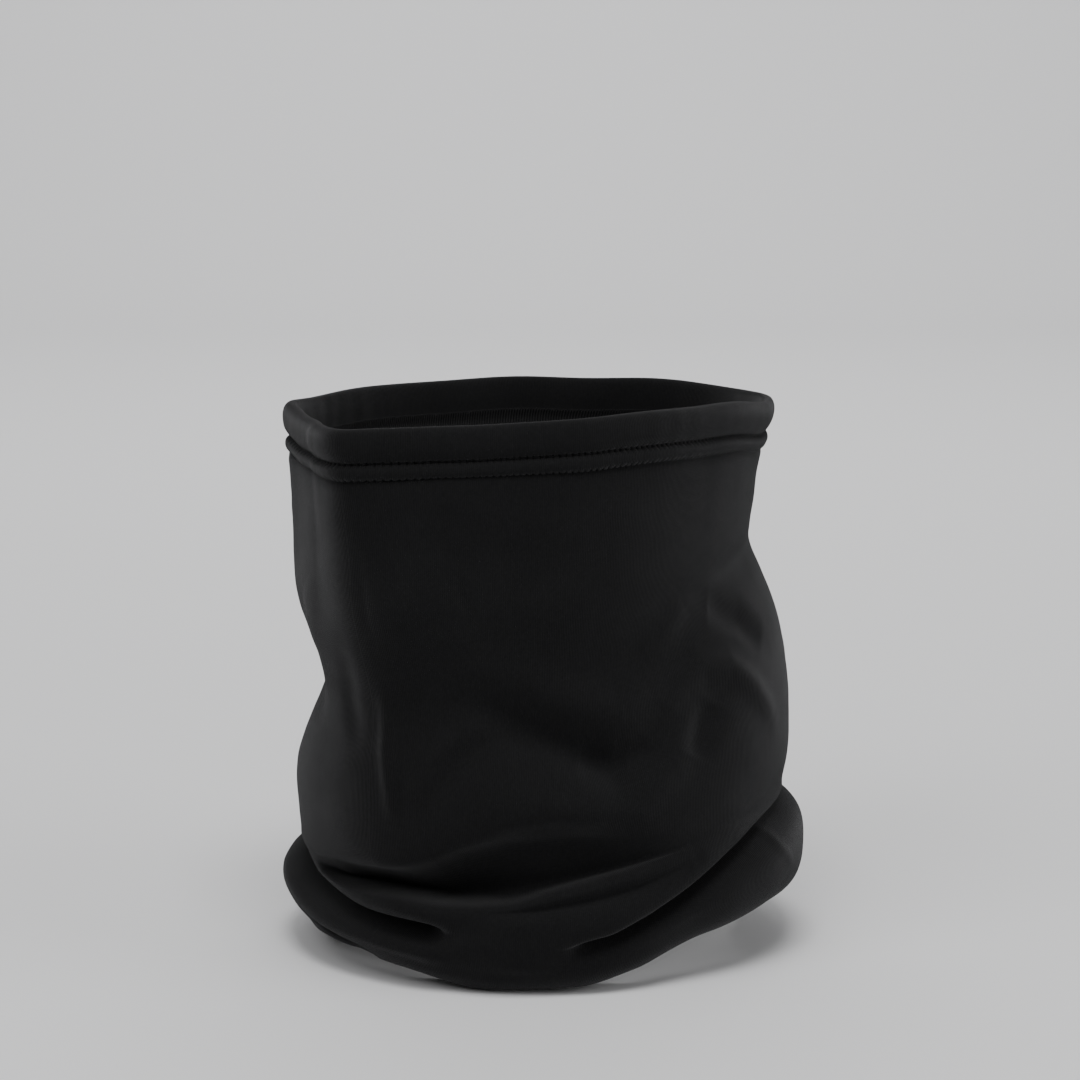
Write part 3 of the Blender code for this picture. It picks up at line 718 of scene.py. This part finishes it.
def hem_points(edge, columns, section):
    """Grid (section, columns, xyz) of a turned edge, pinched at each needle hole."""
    direction = np.arange(columns) * 360 / columns
    out = np.repeat(section[:, :1], columns, axis=1)
    drop = np.repeat(section[:, 1:], columns, axis=1)
    outer = (out > -2.6) & (drop > 0.3)

    hole = np.abs(stitch_phase(columns) - 0.5) * 2
    pinch = np.clip((hole - 0.45) / 0.55, 0, 1) ** 1.5
    for row in (UPPER_ROW_DROP, LOWER_ROW_DROP):
        pull = np.exp(-((drop - row) / (0.45 + 0.5 * pinch)) ** 2)
        out = out - outer * pull * PINCH_DEPTH * pinch
    puff = np.clip(1 - np.abs(drop - PUFF_DROP) / PUFF_DROP, 0, 1)
    uneven = PUFF_UNEVENNESS * waves(direction, 0.0, edge.seed + 2, 22, 0.5)
    return edge.place(direction, out + outer * puff * uneven, drop)


def build_hem(edge, knit, fleece):
    section = hem_section(HEM_SECTION_POINTS)
    columns = STITCHES_ROUND * COLUMNS_PER_STITCH
    points = hem_points(edge, columns, section)
    quads = grid_faces(len(section), columns, close_rows=True)
    down = np.concatenate([[0], np.cumsum(np.linalg.norm(np.diff(section, axis=0), axis=1))]) * MM
    uv = cloth_uv(len(section), columns, down)
    if edge.side == WRONG_SIDE_OUT:
        quads = quads[:, ::-1]
        uv = uv[:, ::-1]
    name = f"{edge.prefix}_cloth"
    hem = add_piece(name, make_mesh(name, points.reshape(-1, 3), quads, uv), knit, fleece)
    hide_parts(edge.prefix)


def tube_grid(path, radius, sides):
    """Ring of points round each point of an open or closed path, (path, sides, xyz)."""
    ahead = np.gradient(path, axis=0)
    ahead /= np.maximum(np.linalg.norm(ahead, axis=1, keepdims=True), 1e-12)
    side = np.cross(ahead, (0.0, 0.0, 1.0))
    flat = np.linalg.norm(side, axis=1, keepdims=True) < 0.2
    side = np.where(flat, np.cross(ahead, (1.0, 0.0, 0.0)), side)
    side /= np.maximum(np.linalg.norm(side, axis=1, keepdims=True), 1e-12)
    up = np.cross(side, ahead)
    turn = np.arange(sides) * 2 * math.pi / sides
    ring = np.cos(turn)[None, :, None] * side[:, None] + np.sin(turn)[None, :, None] * up[:, None]
    return path[:, None] + ring * np.reshape(radius, (-1, 1, 1))


def join_tubes(tubes, closed=False):
    """Points and quads of several tubes in one mesh. A tube with ends is six-sided and has flat ends."""
    six_sided_end = np.array([(0, 1, 2, 3), (0, 3, 4, 5)])
    points, quads, start = [], [], 0
    for tube in tubes:
        rings, sides = tube.shape[:2]
        points.append(tube.reshape(-1, 3))
        quads.append(grid_faces(rings, sides, closed) + start)
        if not closed:
            quads.append(six_sided_end + start)
            quads.append(six_sided_end[:, ::-1] + start + (rings - 1) * sides)
        start += rings * sides
    return np.concatenate(points), np.concatenate(quads)


def add_strands(name, node, tubes, thread, closed=False):
    """All the strands of one sewing thread as one piece."""
    points, quads = join_tubes(tubes, closed)
    piece = add_piece(name, make_mesh(name, points, quads), thread)
    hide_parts(node)


def stitch_rise(share):
    """0 where a stitch goes through the cloth, 1 midway between, for shares of its length."""
    return np.sin(np.pi * share) ** 0.5


def stitch_tube(line, rise):
    """One stitch along a line, thinner where it enters the cloth."""
    return tube_grid(line, THREAD_RADIUS * (THREAD_ENDS + (1 - THREAD_ENDS) * rise), 6)


def needle_stitches(edge, row):
    """One row of straight stitches, each rising from one needle hole and diving at the next."""
    share = np.linspace(0.04, 0.96, 9)
    rise = stitch_rise(share)
    rng = np.random.default_rng(edge.seed + int(row * 10))
    tubes = []
    for stitch in range(STITCHES_ROUND):
        drop = np.full(len(share), row + rng.normal(0, NEEDLE_SKEW))
        line = edge.line(stitch + share, NEEDLE_RISE * rise - NEEDLE_DEPTH, drop)
        tubes.append(stitch_tube(line, rise))
    return tubes


def looper_strand(edge, phase):
    """Covering thread on the back of the twin rows, swinging from one to the other."""
    turn = np.arange(0, STITCHES_ROUND, 1 / 12)
    swing = np.tanh(LOOPER_SWING * np.sin(2 * math.pi * (turn + phase))) / math.tanh(LOOPER_SWING)
    middle = (UPPER_ROW_DROP + LOWER_ROW_DROP) / 2
    half = (LOWER_ROW_DROP - UPPER_ROW_DROP) / 2
    lift = LOOPER_LIFT * np.cos(4 * math.pi * (turn + phase))
    line = edge.line(turn + 0.25 * swing, lift - LOOPER_DEPTH, middle + half * swing)
    return tube_grid(line, THREAD_RADIUS, 5)


def build_hem_threads(edge, thread):
    for label, row in (("upper", UPPER_ROW_DROP), ("lower", LOWER_ROW_DROP)):
        add_strands(f"{edge.prefix}_needle_stitches_{label}", f"{edge.prefix}_needle_thread_{label}",
                    needle_stitches(edge, row), thread)
    strands = [looper_strand(edge, phase) for phase in (0.0, 0.5)]
    add_strands(f"{edge.prefix}_looper_strands", f"{edge.prefix}_looper_thread", strands, thread, closed=True)


def turned_edges():
    """The top hem, and the bottom hem, which stands wrong side out on the tucked end of the panel."""
    height, reach = PANEL_LEVELS["tuck"]
    lifted = {a: h + LOWER_ROW_DROP for a, h in height.items()}
    inset = {a: r - BOTTOM_HEM_INSET for a, r in reach.items()}
    return (TurnedEdge("top_hem", RIM_HEIGHT, RIM_REACH, RIGHT_SIDE_OUT, TOP_HEM_SEED),
            TurnedEdge("bottom_hem", lifted, inset, WRONG_SIDE_OUT, BOTTOM_HEM_SEED))


# ---------------------------------------------------------------- back seam and label


def read_between(grid, row, column):
    """Bilinear value of a grid at fractional rows and columns."""
    r = np.clip(row.astype(int), 0, grid.shape[0] - 2)
    c = column.astype(int)
    u = (row - r)[..., None]
    v = (column - c)[..., None]
    upper = grid[r, c] * (1 - v) + grid[r, c + 1] * v
    lower = grid[r + 1, c] * (1 - v) + grid[r + 1, c + 1] * v
    return upper * (1 - u) + lower * u


class BackInside:
    """The inside of the cloth at the centre back, for laying things on it."""

    def __init__(self, outside):
        self.inward = -grid_normals(outside)
        self.inside = outside + self.inward * CLOTH_THICK
        middle = outside.shape[1] // 2
        above_folds = int(np.argmax(outside[:, middle, 2] < (SEAM_FOOT - SEAM_MARGIN) * MM))
        self.heights = outside[:above_folds, middle, 2] / MM

    def lay(self, height, across, away):
        """Points `away` millimetres in from the cloth, `across` to the left and at `height`."""
        height, across, away = np.broadcast_arrays(height, across, away)
        rows = np.arange(len(self.heights))
        row = np.interp(-height, -self.heights, rows)
        column = (180 - np.degrees(across / BACK_RADIUS)) * self.inside.shape[1] / 360
        inward = read_between(self.inward, row, column)
        inward /= np.linalg.norm(inward, axis=-1, keepdims=True)
        return read_between(self.inside, row, column) + inward * away[..., None] * MM


def solid_between(front, back):
    """Points and quads of a closed piece between two open grids of the same size."""
    rows, columns = front.shape[:2]
    index = np.arange(rows * columns).reshape(rows, columns)
    corners = (index[:-1, :-1], index[1:, :-1], index[1:, 1:], index[:-1, 1:])
    faces = np.stack(corners, axis=-1).reshape(-1, 4)
    rim = np.concatenate([index[0, :-1], index[:-1, -1], index[-1, :0:-1], index[:0:-1, 0]])
    after = np.roll(rim, -1)
    other = rows * columns
    walls = np.stack([rim, after, after + other, rim + other], axis=-1)
    points = np.concatenate([front.reshape(-1, 3), back.reshape(-1, 3)])
    return points, np.concatenate([faces, faces[:, ::-1] + other, walls])


def flat_uv(points, quads):
    """Cloth coordinates for a narrow upright piece: across and down, in metres."""
    return np.stack([points[:, 0], -points[:, 2]], axis=-1)[quads]


def seam_turns():
    """Positions down the seam in stitches, and their heights."""
    stitches = int((SEAM_TOP - SEAM_FOOT) * MM / STITCH_LENGTH) - 1
    turn = np.arange(0, stitches, 1 / SEAM_STITCH_STEPS)
    return turn, SEAM_TOP - SEAM_STITCH_INSET - turn * STITCH_LENGTH / MM


def build_seam_allowance(back, fleece):
    """The two raw edges of the closing seam, laid over to one side; the overlock draws its edge in."""
    height = np.linspace(SEAM_TOP, SEAM_FOOT, SEAM_ROWS)[:, None]
    u = np.linspace(-1, 1, SEAM_COLUMNS)[None, :]
    stitch = (SEAM_TOP - SEAM_STITCH_INSET - height) * MM / STITCH_LENGTH
    pull = SEAM_DRAW_IN * np.cos(2 * math.pi * stitch)
    sway = 0.25 * np.sin(height / 9.0) + 0.12 * np.sin(height / 3.7 + 1)
    half = (SEAM_EDGES[1] - SEAM_EDGES[0]) / 2
    across = u * half + (pull + sway) * np.clip(u, 0, 1) ** 2
    crown = np.sqrt(np.clip(1 - u**8, 0, 1))
    groove = 0.30 * np.exp(-((across - SEAM_NEEDLE_LINE) / 0.45) ** 2)
    front = back.lay(height, across, 0.12 + SEAM_THICK * (0.35 + 0.65 * crown) - groove - 0.1 * pull)
    behind = back.lay(height, across, 0.05 + 0.2 * (1 - crown))
    points, quads = solid_between(front, behind)
    mesh = make_mesh("back_seam_edges", points, quads, flat_uv(points, quads))
    seam = add_piece("back_seam_edges", mesh, fleece)
    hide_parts("back_seam_allowance")


def straight_stitches(back, across, top, foot, away):
    """Row of stitches down the cloth, each from one needle hole to the next."""
    share = np.linspace(0.05, 0.95, 9)
    rise = stitch_rise(share)
    step = STITCH_LENGTH / MM
    tubes = []
    for start in np.arange(top, foot + step, -step):
        line = back.lay(start - share * step, across, away - 0.55 + 0.55 * rise)
        tubes.append(stitch_tube(line, rise))
    return tubes


def build_seam_threads(back, thread):
    """The straight needle row, and the overlock's two loopers: one over the edge, one along it."""
    rows = straight_stitches(back, SEAM_NEEDLE_LINE, SEAM_TOP - SEAM_STITCH_INSET,
                             SEAM_FOOT + SEAM_STITCH_INSET, SEAM_THICK - 0.02)
    add_strands("back_seam_needle_stitches", "back_seam_needle_thread", rows, thread)

    turn, height = seam_turns()
    swing = 0.5 - 0.5 * np.cos(2 * math.pi * turn)
    across = SEAM_NEEDLE_LINE + 0.35 + swing * (SEAM_EDGES[1] - SEAM_NEEDLE_LINE + 0.05)
    wrap = np.clip((swing - 0.86) / 0.14, 0, 1)
    over = back.lay(height, across, SEAM_THICK + 0.30 - wrap**1.5)
    along = back.lay(height - 0.3, SEAM_EDGES[1] + 0.30 + 0.10 * np.sin(2 * math.pi * turn),
                     0.75 + 0.25 * np.cos(4 * math.pi * turn))
    strands = [tube_grid(over, THREAD_RADIUS, 6), tube_grid(along, THREAD_RADIUS, 6)]
    add_strands("back_seam_looper_strands", "back_seam_looper_thread", strands, thread)


def label_lift(run):
    """Millimetres the lower layer of the label stands off the cloth, `run` from the seam to its free end."""
    return LABEL_STAND_OFF + LABEL_LIFT * run**2.2


def build_label(back, tape, thread):
    """Blank folded tape caught at the seam, its free end lifting a little."""
    height = LABEL_TOP - np.linspace(0, LABEL_HEIGHT, LABEL_ROWS)[:, None]
    width = LABEL_EDGES[1] - LABEL_EDGES[0]
    fold = np.linspace(-math.pi / 2, math.pi / 2, 9)[1:-1]
    lower = np.linspace(0, 1, LABEL_COLUMNS)
    run = np.concatenate([lower, 1 + 0.02 * np.cos(fold), lower[::-1]])[None, :]
    level = np.concatenate([0 * lower, 0.5 + 0.5 * np.sin(fold), 0 * lower + 1])[None, :]
    lift = label_lift(run) + 0.22 * run * np.sin(height / 7.0 + 1.5)
    gap = LABEL_GAP + 0.25 * np.clip(run, 0, 1) ** 1.5
    across = LABEL_EDGES[0] + run * width
    away = lift + level * gap
    inset = np.where(run > 1, LABEL_THICK, 0.0)
    one_face = back.lay(height, across, away)
    other_face = back.lay(height, across - inset, away + LABEL_THICK * (1 - 2 * level))
    points, quads = solid_between(other_face, one_face)
    label = add_piece("label_tape", make_mesh("label_tape", points, quads), tape)
    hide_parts("care_label")

    share = (LABEL_STITCH_LINE - LABEL_EDGES[0]) / width
    top_face = label_lift(share) + LABEL_GAP + 0.32
    rows = straight_stitches(back, LABEL_STITCH_LINE, LABEL_TOP - LABEL_STITCH_INSET,
                             LABEL_TOP - LABEL_HEIGHT + LABEL_STITCH_INSET, top_face)
    add_strands("label_stitches", "care_label_stitching", rows, thread)


# ---------------------------------------------------------------- studio


def level_ways(direction):
    """Level unit vectors: away from someone looking from `direction`, and to their right."""
    a = math.radians(direction)
    return np.array((-math.sin(a), math.cos(a), 0)), np.array((math.cos(a), math.sin(a), 0))


def build_floor(lowest):
    """Pale floor curving up into a pale wall behind."""
    turn = np.linspace(0, math.pi / 2, BEND_POINTS)
    bend = zip(WALL_DISTANCE - FLOOR_BEND + FLOOR_BEND * np.sin(turn), FLOOR_BEND - FLOOR_BEND * np.cos(turn))
    profile = [(FLOOR_FRONT, 0.0), *bend, (WALL_DISTANCE, WALL_HEIGHT)]
    away, side = level_ways(VIEW_DIRECTION)
    points = np.array([away * depth + side * across + np.array((0, 0, lowest + rise))
                       for depth, rise in profile
                       for across in (-FLOOR_HALF_WIDTH, FLOOR_HALF_WIDTH)])
    quads = np.array([(2 * i, 2 * i + 1, 2 * i + 3, 2 * i + 2) for i in range(len(profile) - 1)])
    floor = bpy.data.objects.new("studio_floor", make_mesh("studio_floor", points, quads))
    bpy.context.scene.collection.objects.link(floor)
    floor.data.materials.append(plain_material("studio_paper", (0.82, 0.82, 0.83), 0.9))
    floor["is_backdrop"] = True


def add_light(name, turn, height, distance, size, power, target):
    """Soft square light, `turn` degrees round from the camera."""
    away, _ = level_ways(VIEW_DIRECTION + turn)
    place = np.array((0, 0, height)) - away * distance
    light = bpy.data.lights.new(name, "AREA")
    light.shape = "SQUARE"
    light.size = size
    light.energy = power
    lamp = bpy.data.objects.new(name, light)
    bpy.context.scene.collection.objects.link(lamp)
    lamp.location = place
    aim = place - np.array(target)
    lamp.rotation_euler = (math.atan2(math.hypot(aim[0], aim[1]), aim[2]), 0, math.atan2(aim[0], -aim[1]))


def build_lights():
    world = bpy.data.worlds.new("studio")
    world.use_nodes = True
    world.node_tree.nodes["Background"].inputs["Color"].default_value = (1, 1, 1, 1)
    world.node_tree.nodes["Background"].inputs["Strength"].default_value = WORLD_STRENGTH
    bpy.context.scene.world = world
    for softbox in SOFTBOXES:
        add_light(*softbox, LIGHT_TARGET)
    away, _ = level_ways(VIEW_DIRECTION)
    add_light(*BACKDROP_WASH, away * WALL_DISTANCE + np.array((0, 0, BACKDROP_TARGET_HEIGHT)))


def build_camera():
    away, right = level_ways(VIEW_DIRECTION)
    camera = bpy.data.cameras.new("photo_view")
    camera.lens = LENS
    camera.sensor_width = FILM_WIDTH
    camera.clip_end = 20
    eye = bpy.data.objects.new("photo_view", camera)
    bpy.context.scene.collection.objects.link(eye)
    eye.location = right * VIEW_SIDESTEP - away * VIEW_DISTANCE + np.array((0, 0, VIEW_HEIGHT))
    eye.rotation_euler = (math.radians(90 - VIEW_PITCH), 0, math.radians(VIEW_DIRECTION))
    bpy.context.scene.camera = eye


def main():
    knit = knit_material("black_jersey_face", (0.0084, 0.0084, 0.0088), 0.10 * MM, 0.05 * MM, 0.26)
    fleece = fleece_material("brushed_back", (0.012, 0.012, 0.0125))
    thread = thread_material("black_sewing_thread", (0.007, 0.007, 0.0075))
    tape = tape_material("label_satin", (0.10, 0.10, 0.11))

    for edge in turned_edges():
        build_hem(edge, knit, fleece)
        build_hem_threads(edge, thread)
    back = BackInside(build_panel(knit, fleece))
    build_seam_allowance(back, fleece)
    build_seam_threads(back, thread)
    build_label(back, tape, thread)

    build_floor(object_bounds()[0][2])
    build_lights()
    build_camera()


main()
